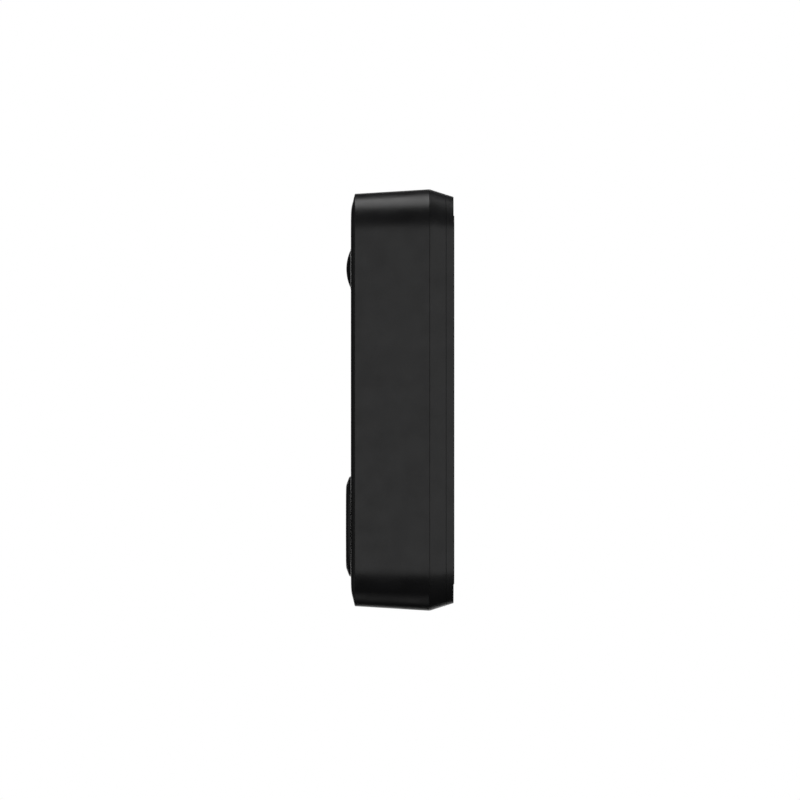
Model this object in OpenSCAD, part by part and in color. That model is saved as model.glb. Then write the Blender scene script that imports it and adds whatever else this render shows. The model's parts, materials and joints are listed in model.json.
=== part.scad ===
// Wired video doorbell on its wall plate, millimetres.
// The parts are drawn lying on their back: X across, Y up the door frame, Z out from the wall.
// stood_up() then stands them up, so that +Z is up, the front faces -Y and the wall is at y = 0.

/* [Body] */
// Width at the belt, the widest line round the body
body_w = 37; // [36:0.5:38]
// Height at the belt
body_h = 83; // [82:0.5:84]
// Corner radius of the outline at the belt
corner_r = 9; // [8.5:0.25:9.5]
// Distance of the belt from the wall
belt_z = 4.85; // [4.8:0.05:5]
// Distance of the flat front face from the wall
face_z = 20.35; // [20.3:0.05:20.5]
// How far each side leans in from the belt to the front rim
front_inset = 0.9; // [0.8:0.1:1]
// How far each side leans in from the belt to the wall
rear_inset = 1.5; // [1.4:0.1:1.6]
// Drop of the crowned front face at its outer edge
crown_drop = 0.8; // [0.6:0.1:0.9]
// Width of the crowned band round the front face
crown_run = 5.5; // [5:0.25:6]

/* [Lens] */
// Height of the lens above the middle of the body
lens_y = 25.9; // [25.5:0.1:26.5]
// Diameter of the lens with its trim ring
lens_d = 8; // [7.8:0.1:8.2]
// How far the lens dome stands proud of the front face
lens_rise = 0.95; // [0.85:0.05:1]
// Distance that the infrared filter carrier slides
filter_travel = 5.2; // [5:0.1:5.3]

/* [Call button] */
// Height of the button below the middle of the body
button_drop = 25; // [24.5:0.1:25.5]
// Diameter of the button
button_d = 20; // [19.8:0.1:20.2]
// How far the button stands proud of the front face
button_rise = 1; // [0.9:0.05:1]
// Radius of the button's rounded edge
button_edge_r = 1; // [0.8:0.1:1.2]

/* [Wall plate] */
// Distance between the two wall screw slots
slot_spacing = 54; // [52:1:56]
// Width of a wall screw slot
slot_w = 4.4; // [4.2:0.1:4.6]
// Length of a wall screw slot, end to end
slot_l = 7; // [6.6:0.2:7.4]
// Width of the window that the wall wires come through
window_w = 16; // [14:1:18]
// Height of the window that the wall wires come through
window_h = 22; // [20:1:24]
// Height of the raised land on the back of the wall plate
land_h = 72.5; // [72:0.5:73]

/* [Hidden] */
$fn = 64;
cut = 0.5;               // how far a cutting shape runs past the face that it cuts
crown_steps = 4;         // facets across the crowned edge of the front face
lens_fn = 256;           // facets of a sphere in the small lens surfaces

// Distances from the wall, back to front
land_z = 0.15;           // the wall plate's ends stand this far off the wall
plate_z = 1.6;           // front of the wall plate
rim_z = 1.66;            // back of the rear cover
bay_z = 3.9;             // floor of the bay behind the rear cover
floor_z = 5.3;           // inner face of the rear cover
joint_z = 4.81;          // the rear cover's shoulder, just behind the belt
spigot_z = 6.4;          // top of the rear cover's spigot
post_z = 6.5;            // back end of the housing's screw posts
board_z = 7.4;           // back of the main and camera boards
board_t = 0.8;           // thickness of every circuit board
board_top = board_z + board_t;
button_board_z = 13.2;
button_board_top = button_board_z + board_t;
ir_board_z = 15;
ir_board_top = ir_board_z + board_t;
wall_in_z = 16.9;        // inner face of the housing's front wall
wall_out_z = 18.45;      // outer face of the housing's front wall
panel_z = 18.6;          // back of the front panel

// Insets from the belt outline
lip_inset = 1.3;         // the housing's front lip, in from its front rim
cavity_inset = 2.3;
spigot_inset = 2.4;
spigot_in = 3.6;
bay_inset = 2.8;
seal_inset = 1.2;
panel_gap = 0.08;
recess_inset = front_inset + lip_inset;
land_inset = 3.5;

// Screw and post places
corner_screw = [12.3, 35.1];
corner_places = [for (sx = [-1, 1], sy = [-1, 1]) [sx * corner_screw[0], sy * corner_screw[1]]];
main_screw_places = [for (sx = [-1, 1], y = [-10.5, 11.4]) [sx * 13, y]];
camera_screw_places = [for (sx = [-1, 1]) [sx * 9.2, lens_y - 7.4]];
button_y = -button_drop;
button_screw_places = [for (sx = [-1, 1], sy = [-1, 1]) [sx * 14.5, button_y + sy * 6]];
ir_screw_places = [for (sx = [-1, 1]) [sx * 13.2, 19.2]];
screw_r = 0.7;
screw_head_r = 1.4;
screw_head_h = 0.8;

// Lens stack
window_r = lens_d / 2 - 0.42;
flange_r = 5.2;
flange_top = 19.1;
dome_r = (pow(lens_d / 2, 2) + pow(lens_rise, 2)) / (2 * lens_rise);
dome_z = face_z + lens_rise - dome_r;
barrel_r = 3.5;
barrel_top = 18.1;
barrel_z = 12.05;
element_r = 2.85;
holder_top = 12;
filter_z = 9.9;
filter_t = 1.2;
filter_r = 1.95;
carrier_w = 11.6;
ir_led_x = 9.8;
microphone_y = 34.4;
light_sensor_place = [6.6, 33.6];

// Button stack
cap_r = button_d / 2;
cap_top = face_z + button_rise;
cap_z = 17.3;
cap_lip_r = cap_r + 0.65;
cap_lip_top = 18.2;
cap_ceiling = 19.9;
pad_r = 2.6;
pad_z = 17.6;
pad_top = 18.2;
plunger_r = 1.75;
plunger_z = 16;
switch_top = 16.9;
ring_in = cap_r + 0.15;
ring_out = cap_r + 1.35;
pipe_in = cap_r + 0.8;
pipe_out = cap_r + 1.5;
ring_flange_r = cap_r + 2.3;
led_circle_r = cap_r + 1.15;

// Speaker
speaker_y = 1.5;
speaker_r = 9.8;
speaker_top = 16.3;
basket_z = 11.9;
yoke_r = 5.6;
yoke_z = 10.9;
coil_in = 4.25;
coil_out = 4.65;
cone_r = 7.2;
grille_slots = [[-4.4, 5], [-2.2, 9], [0, 10.5], [2.2, 9], [4.4, 5]];

// Rear details
terminal_places = [for (sx = [-1, 1]) [sx * 6, 5.5]];
setup_place = [0, 12.4];
lock_z = 2.7;
lock_tip_y = 38.8;
hook_x = 6.5;
hook_w = 5;
tab_w = 9;
slot_y = slot_spacing / 2;

// ---- shared shapes ----

module stood_up() {
    rotate([90, 0, 0]) children();
}

// Flat rounded rectangle from its half width, half height and corner radius
module rounded(half_w, half_h, r) {
    square([2 * half_w, 2 * (half_h - r)], center = true);
    square([2 * (half_w - r), 2 * half_h], center = true);
    for (sx = [-1, 1], sy = [-1, 1])
        translate([sx * (half_w - r), sy * (half_h - r)])
            circle(r = r);
}

// The body's outline, drawn in from the belt by an inset
module outline(inset) {
    rounded(body_w / 2 - inset, body_h / 2 - inset, corner_r - inset);
}

module slab(z0, z1, inset) {
    translate([0, 0, z0]) linear_extrude(z1 - z0) outline(inset);
}

// A length of the body whose sides follow a profile of [inset, height] points from back to front:
// a turned solid in each corner and two crossed prisms
module profiled_body(profile) {
    flat_x = body_w / 2 - corner_r;
    flat_y = body_h / 2 - corner_r;
    z_back = profile[0][1];
    z_front = profile[len(profile) - 1][1];
    turned = [for (p = profile) [corner_r - p[0], p[1]]];
    for (sx = [-1, 1], sy = [-1, 1])
        translate([sx * flat_x, sy * flat_y, 0])
            rotate_extrude() polygon(concat([[0, z_back]], turned, [[0, z_front]]));
    rotate([90, 0, 90])
        translate([0, 0, -flat_x])
            linear_extrude(2 * flat_x)
                body_section(body_h / 2, profile);
    rotate([90, 0, 0])
        translate([0, 0, -flat_y])
            linear_extrude(2 * flat_y)
                body_section(body_w / 2, profile);
}

module body_section(half, profile) {
    last = len(profile) - 1;
    right = [for (p = profile) [half - p[0], p[1]]];
    left = [for (i = [0:last]) [profile[last - i][0] - half, profile[last - i][1]]];
    polygon(concat(right, left));
}

// Inset of the side behind the belt, at a height
function rear_lean(z) = rear_inset * (belt_z - z) / (belt_z - land_z);

module leaning_slab(z0, inset0, z1, inset1) {
    profiled_body([[inset0, z0], [inset1, z1]]);
}

// Height of the crowned front face at a distance in from its outer edge
function crown_z(run) = face_z - crown_drop * pow(1 - min(run, crown_run) / crown_run, 2);

// Profile of the crowned front face, from a distance in from the front rim to the flat middle
function crown_profile(start) = [
    for (i = [0:crown_steps])
        let (run = start + (crown_run - start) * pow(i / crown_steps, 1.2))
            [front_inset + run, crown_z(run)]
];

module disc(x, y, z0, z1, r) {
    translate([x, y, z0]) cylinder(r = r, h = z1 - z0);
}

module ring(x, y, z0, z1, r_out, r_in) {
    difference() {
        disc(x, y, z0, z1, r_out);
        disc(x, y, z0 - cut, z1 + cut, r_in);
    }
}

module block(x, y, z0, w, h, d) {
    translate([x - w / 2, y - h / 2, z0]) cube([w, h, d]);
}

module rounded_block(x, y, z0, w, h, d, r) {
    translate([x, y, z0]) linear_extrude(d) rounded(w / 2, h / 2, r);
}

// Holes at a list of places
module holes(places, z0, z1, r) {
    for (p = places) disc(p[0], p[1], z0, z1, r);
}

// Upright slot with round ends
module slot(x, y, z0, z1, w, l) {
    translate([x, y, z0])
        linear_extrude(z1 - z0) {
            square([w, l - w], center = true);
            for (sy = [-1, 1])
                translate([0, sy * (l - w) / 2]) circle(d = w);
        }
}

// Cross recess of a screw's drive
module cross_drive(x, y, z0, size, depth) {
    block(x, y, z0, size, size / 4, depth);
    block(x, y, z0, size / 4, size, depth);
}

// ---- wall plate ----

module wall_plate() {
    color("#26262a")
    stood_up()
    difference() {
        union() {
            difference() {
                leaning_slab(land_z, rear_lean(land_z), plate_z, rear_lean(plate_z));
                block(0, 0, land_z - cut, window_w, window_h, plate_z + 2 * cut);
            }
            difference() {
                rounded_block(0, 0, 0, body_w - 2 * land_inset, land_h, land_z, 4);
                block(0, 0, -cut, window_w, window_h, land_z + 2 * cut);
            }
            for (sx = [-1, 1]) {
                block(sx * hook_x, 38, plate_z, hook_w, 1, 2);
                block(sx * hook_x, 38.9, 2.85, hook_w, 1, 0.75);
            }
            block(0, -37.95, plate_z, tab_w, 1, 2.1);
            plate_ribs();
        }
        for (sy = [-1, 1]) {
            slot(0, sy * slot_y, -cut, plate_z + cut, slot_w, slot_l);
            slot(0, sy * slot_y, 0.9, plate_z + cut, 8.6, 11.2);
        }
        translate([0, -37, lock_z])
            rotate([90, 0, 0])
                cylinder(r = 0.7, h = 2);
    }
}

// Low ribs that stiffen the plate beside the window
module plate_ribs() {
    for (sx = [-1, 1])
        block(sx * 12.4, 0, plate_z, 1, 52, 0.9);
    for (sy = [-1, 1])
        block(0, sy * 14.5, plate_z, 20, 1, 0.9);
}

// ---- enclosure ----

module rear_cover() {
    color("#232327")
    stood_up()
    difference() {
        union() {
            leaning_slab(rim_z, rear_lean(rim_z), joint_z, rear_lean(joint_z));
            difference() {
                slab(joint_z, spigot_z, spigot_inset);
                slab(floor_z, spigot_z + cut, spigot_in);
            }
            holes(corner_places, floor_z, spigot_z, 2.4);
            holes(main_screw_places, floor_z, board_z, 1.5);
            holes(camera_screw_places, floor_z, board_z, 1.5);
        }
        slab(rim_z - cut, bay_z, bay_inset);
        for (sx = [-1, 1])
            block(sx * hook_x, 39.2, 2.3, hook_w + 0.8, 1.2, bay_z - 2.3);
        holes(corner_places, bay_z - cut, spigot_z + cut, 1.1);
        holes(main_screw_places, floor_z + 0.3, board_z + cut, screw_r + 0.03);
        holes(camera_screw_places, floor_z + 0.3, board_z + cut, screw_r + 0.03);
        holes(terminal_places, bay_z - cut, 4.5, 1.6);
        holes(terminal_places, 4.5, floor_z + cut, 2.43);
        holes([setup_place], bay_z - cut, floor_z + cut, 1.4);
        translate([0, -38, lock_z])
            rotate([90, 0, 0])
                cylinder(r = 1.03, h = 4);
    }
}

module main_housing() {
    color("#2a2a2e")
    stood_up()
    difference() {
        union() {
            difference() {
                housing_outside();
                slab(belt_z - cut, wall_in_z, cavity_inset);
            }
            holes(corner_places, post_z, wall_in_z + 0.1, 2.4);
            holes(button_screw_places, button_board_top, wall_in_z + 0.1, 1.5);
            holes(ir_screw_places, ir_board_top, wall_in_z + 0.1, 1.5);
        }
        slab(wall_out_z, face_z + cut, recess_inset);
        slab(belt_z - cut, 5.5, seal_inset);
        holes(corner_places, post_z - cut, 12, 1.03);
        holes(button_screw_places, button_board_top - cut, wall_in_z - 0.3, screw_r + 0.03);
        holes(ir_screw_places, ir_board_top - cut, wall_in_z + 0.6, screw_r + 0.03);
        disc(0, lens_y, wall_in_z - cut, wall_out_z + cut, barrel_r + 0.4);
        for (sx = [-1, 1])
            disc(sx * ir_led_x, lens_y, wall_in_z - cut, wall_out_z + cut, 2);
        disc(light_sensor_place[0], light_sensor_place[1], wall_in_z - cut, wall_out_z + cut, 0.9);
        disc(0, microphone_y, wall_in_z - cut, wall_out_z + cut, 0.6);
        disc(0, speaker_y, wall_in_z - cut, wall_out_z + cut, 6.5);
        disc(0, button_y, wall_in_z - cut, wall_out_z + cut, pipe_out + 0.1);
    }
}

module housing_outside() {
    profiled_body(concat([[0, belt_z]], crown_profile(0)));
}

module front_panel() {
    color("#141416")
    stood_up()
    difference() {
        profiled_body(concat(
            [[recess_inset + panel_gap, panel_z]],
            crown_profile(lip_inset + panel_gap)
        ));
        disc(0, lens_y, panel_z - cut, face_z + cut, lens_d / 2 + 0.03);
        disc(0, lens_y, panel_z - cut, flange_top + 0.05, flange_r + 0.1);
        disc(0, button_y, panel_z - cut, face_z + cut, ring_out + 0.05);
        disc(0, button_y, panel_z - cut, flange_top + 0.05, ring_flange_r + 0.1);
        disc(0, microphone_y, panel_z - cut, face_z + cut, 0.5);
        for (s = grille_slots)
            translate([0, speaker_y + s[0], 0])
                rotate(90)
                    slot(0, 0, panel_z - cut, face_z + cut, 1, s[1]);
    }
}

module panel_adhesive() {
    color("#3a3a3a")
    stood_up()
    difference() {
        slab(wall_out_z, panel_z, recess_inset + 0.3);
        slab(wall_out_z - cut, panel_z + cut, recess_inset + 1.5);
    }
}

module cover_seal() {
    color("#55585c")
    stood_up()
    difference() {
        slab(joint_z, 5.45, seal_inset + 0.05);
        slab(joint_z - cut, 5.45 + cut, spigot_inset - 0.05);
    }
}

module rear_cover_screws() {
    color("#8b8d90")
    stood_up()
    for (p = corner_places)
        difference() {
            union() {
                disc(p[0], p[1], bay_z - 1.3, bay_z, 2);
                disc(p[0], p[1], bay_z, 11, 1);
            }
            cross_drive(p[0], p[1], bay_z - 1.3 - cut, 2.2, 0.8 + cut);
        }
}

// Grub screw with a plain tip, shown backed out of the wall plate's tab
module lock_screw() {
    color("#7d7f83")
    stood_up()
    translate([0, -lock_tip_y, lock_z])
        rotate([90, 0, 0])
            difference() {
                union() {
                    cylinder(r = 0.62, h = 1);
                    translate([0, 0, 0.9]) cylinder(r = 1, h = 1.05);
                }
                translate([0, 0, 1.25]) cylinder(r = 0.55, h = 1, $fn = 6);
            }
}

// ---- lens and camera ----

module lens_window() {
    color("#101014")
    stood_up()
    translate([0, lens_y, 0])
        difference() {
            union() {
                disc(0, 0, wall_out_z, flange_top, flange_r);
                intersection() {
                    disc(0, 0, flange_top, cap_top, window_r);
                    translate([0, 0, dome_z]) sphere(r = dome_r);
                }
            }
            disc(0, 0, wall_out_z - cut, flange_top, window_r - 0.9);
            intersection() {
                disc(0, 0, flange_top - 0.1, cap_top, window_r - 0.9);
                translate([0, 0, dome_z]) sphere(r = dome_r - 0.9);
            }
        }
}

module lens_trim() {
    color("#2e2e33")
    stood_up()
    ring(0, lens_y, flange_top, face_z + 0.12, lens_d / 2, window_r + 0.03);
}

module lens_baffle() {
    color("#1c1c1c")
    stood_up()
    ring(0, lens_y, ir_board_top + 0.05, wall_in_z - 0.05, 5.4, barrel_r + 0.1);
}

module lens_barrel() {
    color("#19191b")
    stood_up()
    difference() {
        disc(0, lens_y, barrel_z, barrel_top, barrel_r);
        disc(0, lens_y, barrel_z - cut, barrel_top - 0.45, element_r + 0.05);
        disc(0, lens_y, barrel_top - 1, barrel_top + cut, 2.4);
    }
}

// Lens element with a bulging front face, and a hollow or bulging back face
module element(z0, z1, r, front_bulge_r, back_r, hollow_back) {
    translate([0, lens_y, 0])
        difference() {
            intersection() {
                disc(0, 0, z0, z1, r);
                translate([0, 0, z1 - front_bulge_r]) sphere(r = front_bulge_r, $fn = lens_fn);
                if (!hollow_back)
                    translate([0, 0, z0 + back_r]) sphere(r = back_r, $fn = lens_fn);
            }
            if (hollow_back)
                translate([0, 0, z0 + 0.6 - back_r]) sphere(r = back_r, $fn = lens_fn);
        }
}

module lens_front_element() {
    color("#4c5a78")
    stood_up()
    element(15.7, 17.6, element_r, 5.4, 3.6, true);
}

module lens_middle_element() {
    color("#566682")
    stood_up()
    element(14, 15.3, element_r, 7, 9, false);
}

module lens_rear_element() {
    color("#56727c")
    stood_up()
    element(12.4, 13.6, 2.5, 6, 8, false);
}

module lens_holder() {
    color("#1e1e20")
    stood_up()
    translate([0, lens_y, 0])
        difference() {
            union() {
                rounded_block(0, 0, board_top, 19, 10.4, holder_top - board_top, 0.8);
                disc(0, 0, holder_top, 14.6, 4.7);
            }
            block(0, 0, board_top - cut, 8, 6.8, 1.5 + cut);
            block(0.5, 0, filter_z - 0.2, 18.1, 7.2, filter_t + 0.4);
            disc(0, 0, filter_z, holder_top + cut, 2.4);
            disc(0, 0, holder_top, 14.6 + cut, barrel_r + 0.03);
        }
}

// The carrier rests with the infrared-cut filter on the lens axis
module filter_carrier() {
    color("#2b2b2d")
    stood_up()
    translate([filter_travel / 2, lens_y, 0])
        difference() {
            block(0, 0, filter_z, carrier_w, 6.6, filter_t);
            for (sx = [-1, 1]) {
                disc(sx * filter_travel / 2, 0, filter_z - cut, filter_z + filter_t + cut, filter_r - 0.35);
                disc(sx * filter_travel / 2, 0, filter_z + 0.3, filter_z + filter_t + cut, filter_r + 0.03);
            }
            block(0, 2.85, filter_z + 0.2, 1.4, 0.6, filter_t);
        }
}

module filter_glass(x) {
    disc(x, lens_y, filter_z + 0.32, filter_z + 0.9, filter_r);
}

module ir_cut_filter() {
    color("#7a4f9e")
    stood_up()
    filter_glass(0);
}

module clear_filter() {
    color("#bcd3dc")
    stood_up()
    filter_glass(filter_travel);
}

module carrier_magnet() {
    color("#b9bbbf")
    stood_up()
    block(filter_travel / 2, lens_y + 2.85, filter_z + 0.25, 1.3, 0.5, 0.8);
}

module filter_coil() {
    color("#b5713a")
    stood_up()
    translate([filter_travel / 2, lens_y + 5.25, filter_z + 0.8])
        rotate([-90, 0, 0]) {
            cylinder(r = 1.5, h = 0.4);
            cylinder(r = 1.2, h = 2.6);
            translate([0, 0, 2.2]) cylinder(r = 1.5, h = 0.4);
        }
}

module image_sensor() {
    color("#30313a")
    stood_up()
    block(0, lens_y, board_top, 6.8, 5.6, 0.8);
}

module sensor_glass() {
    color("#8fb0b8")
    stood_up()
    block(0, lens_y, board_top + 0.8, 5.8, 4.6, 0.35);
}

module camera_board() {
    color("#1f5a3c")
    stood_up()
    difference() {
        rounded_block(0, lens_y - 1, board_z, 22, 15.6, board_t, 1);
        holes(camera_screw_places, board_z - cut, board_top + cut, screw_r + 0.1);
    }
}

// Room for the housing's corner posts at the corners of a board
module corner_notches(z) {
    for (sx = [-1, 1], sy = [-1, 1])
        block(sx * 14.5, sy * 37, z - cut, 10, 9.4, board_t + 2 * cut);
}

// Small machine screw; head_up puts its head on the front side of the board
module small_screw(p, z_seat, length, head_up) {
    translate([p[0], p[1], z_seat])
        rotate([head_up ? 0 : 180, 0, 0])
            difference() {
                union() {
                    cylinder(r = screw_head_r, h = screw_head_h);
                    translate([0, 0, -length]) cylinder(r = screw_r, h = length + 0.1);
                }
                cross_drive(0, 0, screw_head_h - 0.4, 1.5, 0.4 + cut);
            }
}

module board_screws() {
    color("#9a9ca0")
    stood_up() {
        for (p = concat(main_screw_places, camera_screw_places))
            small_screw(p, board_top, 2.4, true);
        for (p = button_screw_places)
            small_screw(p, button_board_z, 3, false);
        for (p = ir_screw_places)
            small_screw(p, ir_board_z, 2, false);
    }
}

module ir_board() {
    color("#1f5a3c")
    stood_up()
    difference() {
        rounded_block(0, 27, ir_board_z, 30, 20.6, board_t, 1.5);
        disc(0, lens_y, ir_board_z - cut, ir_board_top + cut, 5);
        corner_notches(ir_board_z);
        holes(ir_screw_places, ir_board_z - cut, ir_board_top + cut, screw_r + 0.1);
        disc(0, microphone_y, ir_board_z - cut, ir_board_top + cut, 0.4);
    }
}

module ir_leds() {
    color("#3b2f45")
    stood_up()
    for (sx = [-1, 1]) {
        block(sx * ir_led_x, lens_y, ir_board_top, 3, 3, 0.7);
        translate([sx * ir_led_x, lens_y, ir_board_top + 0.7])
            intersection() {
                cylinder(r = 1.2, h = 1.2);
                sphere(r = 1.2);
            }
    }
}

module light_sensor() {
    color("#d8d4b8")
    stood_up()
    block(light_sensor_place[0], light_sensor_place[1], ir_board_top, 2, 2, 0.8);
}

module microphone() {
    color("#c2b27c")
    stood_up()
    difference() {
        block(0, microphone_y, ir_board_z - 1, 3.5, 2.7, 1);
        disc(0, microphone_y, ir_board_z - 0.4, ir_board_z + cut, 0.4);
    }
}

module microphone_boot() {
    color("#5a5d60")
    stood_up()
    ring(0, microphone_y, ir_board_top, wall_in_z, 1.7, 0.55);
}

// ---- call button ----

module button_cap() {
    color("#17171a")
    stood_up()
    translate([0, button_y, 0])
        difference() {
            union() {
                rotate_extrude() button_section();
                disc(0, 0, cap_z, cap_lip_top, cap_lip_r);
            }
            difference() {
                disc(0, 0, cap_z - cut, cap_ceiling, cap_r - 1.2);
                disc(0, 0, pad_top, cap_ceiling + cut, pad_r);
            }
        }
}

// Half section of the cap: a disc with a rounded front edge
module button_section() {
    square_r = cap_r - button_edge_r;
    translate([0, cap_z]) square([cap_r, cap_top - button_edge_r - cap_z]);
    translate([0, cap_z]) square([square_r, cap_top - cap_z]);
    translate([square_r, cap_top - button_edge_r])
        intersection() {
            circle(r = button_edge_r);
            square(button_edge_r);
        }
}

module button_pad() {
    color("#6a6d70")
    stood_up()
    disc(0, button_y, pad_z, pad_top, pad_r);
}

module switch_plunger() {
    color("#c9c9c4")
    stood_up()
    disc(0, button_y, plunger_z, pad_z, plunger_r);
}

module switch_body() {
    color("#303034")
    stood_up()
    difference() {
        rounded_block(0, button_y, button_board_top, 6.2, 6.2, switch_top - button_board_top, 0.4);
        disc(0, button_y, plunger_z - 0.8, switch_top + cut, plunger_r + 0.05);
    }
}

module button_seal() {
    color("#55585c")
    stood_up()
    ring(0, button_y, button_board_top, cap_ceiling - 1, cap_r - 1.5, cap_r - 2.4);
}

module light_ring() {
    color("#c8d4dc")
    stood_up()
    translate([0, button_y, 0]) {
        ring(0, 0, wall_out_z, face_z - 0.05, ring_out, ring_in);
        ring(0, 0, wall_out_z, flange_top, ring_flange_r, ring_in);
        ring(0, 0, button_board_top + 1, wall_out_z + 0.1, pipe_out, pipe_in);
    }
}

module ring_leds() {
    color("#e6e2c8")
    stood_up()
    translate([0, button_y, 0])
        for (i = [0:7])
            rotate(22.5 + i * 45)
                block(led_circle_r, 0, button_board_top, 0.9, 1.7, 0.7);
}

module button_board() {
    color("#1f5a3c")
    stood_up()
    difference() {
        rounded_block(0, button_y, button_board_z, 31.8, 24.6, board_t, 1.5);
        corner_notches(button_board_z);
        holes(button_screw_places, button_board_z - cut, button_board_top + cut, screw_r + 0.1);
    }
}

// ---- speaker ----

module speaker_frame() {
    color("#3a3a3c")
    stood_up()
    translate([0, speaker_y, 0])
        difference() {
            disc(0, 0, basket_z, speaker_top, speaker_r);
            disc(0, 0, basket_z + 0.6, speaker_top + cut, speaker_r - 0.8);
            disc(0, 0, basket_z - cut, basket_z + 1, yoke_r + 0.03);
            for (i = [0:5])
                rotate(i * 60)
                    disc(7.3, 0, basket_z - cut, basket_z + 1, 0.9);
        }
}

module speaker_yoke() {
    color("#9fa1a4")
    stood_up()
    difference() {
        disc(0, speaker_y, yoke_z, 13.6, yoke_r);
        disc(0, speaker_y, yoke_z + 0.6, 13.6 + cut, coil_out + 0.35);
    }
}

module speaker_magnet() {
    color("#7b7d82")
    stood_up()
    disc(0, speaker_y, yoke_z + 0.6, 13.4, coil_in - 0.35);
}

module voice_coil() {
    color("#b5713a")
    stood_up()
    ring(0, speaker_y, 12.6, 14.75, coil_out, coil_in);
}

module speaker_cone() {
    color("#4a4a4a")
    stood_up()
    translate([0, speaker_y, 0]) {
        ring(0, 0, 14.75, 14.95, cone_r, coil_in);
        translate([0, 0, 14.95 - 9])
            intersection() {
                translate([0, 0, 8.9]) cylinder(r = coil_out, h = 3);
                difference() {
                    sphere(r = 9.9);
                    sphere(r = 9.7);
                }
            }
        ring(0, 0, 14.75, 15.6, coil_out, coil_out - 0.3);
    }
}

module speaker_surround() {
    color("#262628")
    stood_up()
    translate([0, speaker_y, 0])
        rotate_extrude()
            translate([(cone_r + 0.1 + speaker_r - 0.8) / 2, 14.9])
                intersection() {
                    difference() {
                        circle(r = 0.8);
                        circle(r = 0.6);
                    }
                    translate([-1, 0]) square([2, 1]);
                }
}

module speaker_gasket() {
    color("#4c4c4c")
    stood_up()
    ring(0, speaker_y, speaker_top, wall_in_z, speaker_r, 8.2);
}

module speaker_mesh() {
    color("#6f7174")
    stood_up()
    disc(0, speaker_y, wall_out_z, wall_out_z + 0.12, 7.6);
}

// ---- boards, power and wiring ----

module main_board() {
    color("#1f5a3c")
    stood_up()
    difference() {
        rounded_block(0, -11, board_z, 30.4, 51, board_t, 1);
        corner_notches(board_z);
        holes(main_screw_places, board_z - cut, board_top + cut, screw_r + 0.1);
    }
}

module processor() {
    color("#202124")
    stood_up()
    block(-3, -1, board_top, 11, 11, 1);
}

module shield_can() {
    color("#b4b6b8")
    stood_up()
    difference() {
        block(-3, -1, board_top, 15, 14, 1.9);
        block(-3, -1, board_top - cut, 14.5, 13.5, 1.65 + cut);
    }
}

module thermal_pad() {
    color("#8aa0b8")
    stood_up()
    block(-3, -6, 6.3, 12, 9, board_z - 6.3);
}

module heat_spreader() {
    color("#c4c6c8")
    stood_up()
    difference() {
        rounded_block(0, -9, floor_z, 22, 18, 1, 1);
        holes(main_screw_places, floor_z - cut, 6.3 + cut, 2);
    }
}

module backup_battery() {
    color("#3d6f9c")
    stood_up()
    rounded_block(0, button_y + 1, board_top + 0.2, 24, 15, 4.2, 1.6);
}

module wifi_antenna() {
    color("#c08a4a")
    stood_up()
    difference() {
        block(-15.95, 1, 9.6, 0.3, 22, 5.6);
        for (y = [-6, 1, 8])
            block(-15.95, y, 11.4, 1, 5, 1);
    }
}

module terminal_posts() {
    color("#c9a95c")
    stood_up()
    for (p = terminal_places)
        ring(p[0], p[1], 4.5, board_z, 2.4, 1.5);
}

module terminal_screws() {
    color("#c9a95c")
    stood_up()
    for (p = terminal_places)
        difference() {
            union() {
                disc(p[0], p[1], 2.3, 3.4, 2.7);
                disc(p[0], p[1], 3.4, 7, 1.45);
            }
            cross_drive(p[0], p[1], 2.3 - cut, 3.2, 0.6 + cut);
        }
}

module terminal_washers() {
    color("#d0d2d4")
    stood_up()
    for (p = terminal_places)
        ring(p[0], p[1], 3.4, bay_z, 3.1, 1.55);
}

module setup_button() {
    color("#8e9094")
    stood_up() {
        disc(setup_place[0], setup_place[1], 3.7, floor_z + 0.1, 1.35);
        disc(setup_place[0], setup_place[1], floor_z + 0.05, floor_z + 0.4, 1.9);
        disc(setup_place[0], setup_place[1], floor_z + 0.3, 6.5, 0.7);
    }
}

module setup_switch() {
    color("#303034")
    stood_up()
    difference() {
        block(setup_place[0], setup_place[1], 6.2, 4, 3.4, board_z - 6.2);
        disc(setup_place[0], setup_place[1], 6.2 - cut, 7.1, 0.8);
    }
}

module connector(x, y, z0, w) {
    difference() {
        block(x, y, z0, w, 2.6, 1);
        block(x, y, z0 + 0.3, w - 1, 3, 0.4);
    }
}

module board_connectors() {
    color("#d9d2bd")
    stood_up() {
        connector(0, 17.7, board_top, 9);
        connector(0, 12.9, board_top, 9);
        connector(6.5, -13.4, board_top, 8);
        connector(6.5, -14.2, button_board_z - 1, 8);
    }
}

// Flat cables: one joins the camera board to the main board, one bends up to the button board
module flex_ribbons() {
    color("#a8742c")
    stood_up() {
        block(0, 15.3, board_top + 0.4, 7, 3.6, 0.2);
        translate([4, 0, 0])
            rotate([90, 0, 90])
                linear_extrude(5.6)
                    ribbon_bend();
    }
}

// Side view of the bent cable: two straight ends joined by a half circle
module ribbon_bend() {
    low = board_top + 0.5;
    high = button_board_z - 0.5;
    bend_r = (high - low) / 2;
    translate([-12.6, low - 0.1]) square([0.7, 0.2]);
    translate([-13.4, high - 0.1]) square([1.5, 0.2]);
    intersection() {
        translate([-11.9, low + bend_r])
            difference() {
                circle(r = bend_r + 0.1);
                circle(r = bend_r - 0.1);
            }
        translate([-11.9, low - 1]) square([bend_r + 1, 2 * bend_r + 2]);
    }
}

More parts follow.
